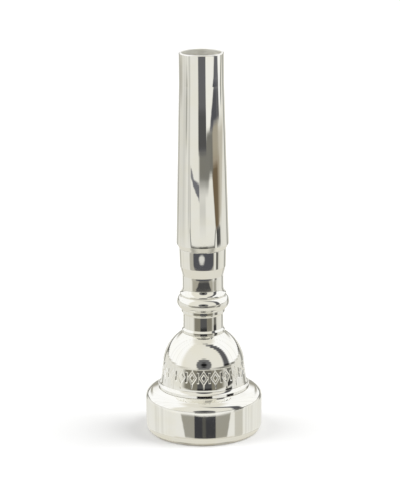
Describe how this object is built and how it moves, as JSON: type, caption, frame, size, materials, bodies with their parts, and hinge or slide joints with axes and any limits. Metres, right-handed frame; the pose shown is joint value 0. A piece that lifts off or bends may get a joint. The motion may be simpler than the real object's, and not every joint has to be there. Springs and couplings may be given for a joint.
{
  "type": "trumpet mouthpiece",
  "caption": "Modular cup mouthpiece for a trumpet: screw rim, cup and backbore with a push-on tapered shank sleeve, stood on its rim.",
  "frame": {"origin": "centre of the rim's high circle, on the plane the rim rests on", "axes": "+Z along the bore, from the rim to the shank's tip; the object is turned round Z, so X and Y are alike"},
  "size_m": [0.0264, 0.0264, 0.087],
  "materials": {
    "silver_plate": "silver plate over brass, turned and polished bright, with faint turning lines",
    "nitrile_rubber": "matt black nitrile rubber"
  },
  "bodies": {
    "rim_body": {"rim": "silver_plate"},
    "rim_screw_travel": {"rim_o_ring": "nitrile_rubber"},
    "cup_body": {"cup": "silver_plate"},
    "backbore_screw_travel": {"backbore_o_ring": "nitrile_rubber"},
    "backbore_body": {"backbore": "silver_plate"},
    "sleeve_body": {"shank_sleeve": "silver_plate"}
  },
  "joints": [
    {"name": "cup_lift", "type": "slide", "parent": "rim_body", "child": "rim_screw_travel", "axis": [0, 0, 1], "range_m": [0, 0.00375]},
    {"name": "cup_unscrew", "type": "hinge", "parent": "rim_screw_travel", "child": "cup_body", "pos_m": [0, 0, 0.0072], "axis": [0, 0, 1], "range_deg": [0, 1350]},
    {"name": "backbore_lift", "type": "slide", "parent": "cup_body", "child": "backbore_screw_travel", "axis": [0, 0, 1], "range_m": [0, 0.00375]},
    {"name": "backbore_unscrew", "type": "hinge", "parent": "backbore_screw_travel", "child": "backbore_body", "pos_m": [0, 0, 0.0201], "axis": [0, 0, 1], "range_deg": [0, 1350]},
    {"name": "sleeve_pull", "type": "slide", "parent": "backbore_body", "child": "sleeve_body", "axis": [0, 0, 1], "range_m": [0, 0.032]}
  ],
  "couplings": [
    {"joint": "cup_unscrew", "follows": "cup_lift", "rad_per_m": 6283.2},
    {"joint": "backbore_unscrew", "follows": "backbore_lift", "rad_per_m": 6283.2}
  ]
}
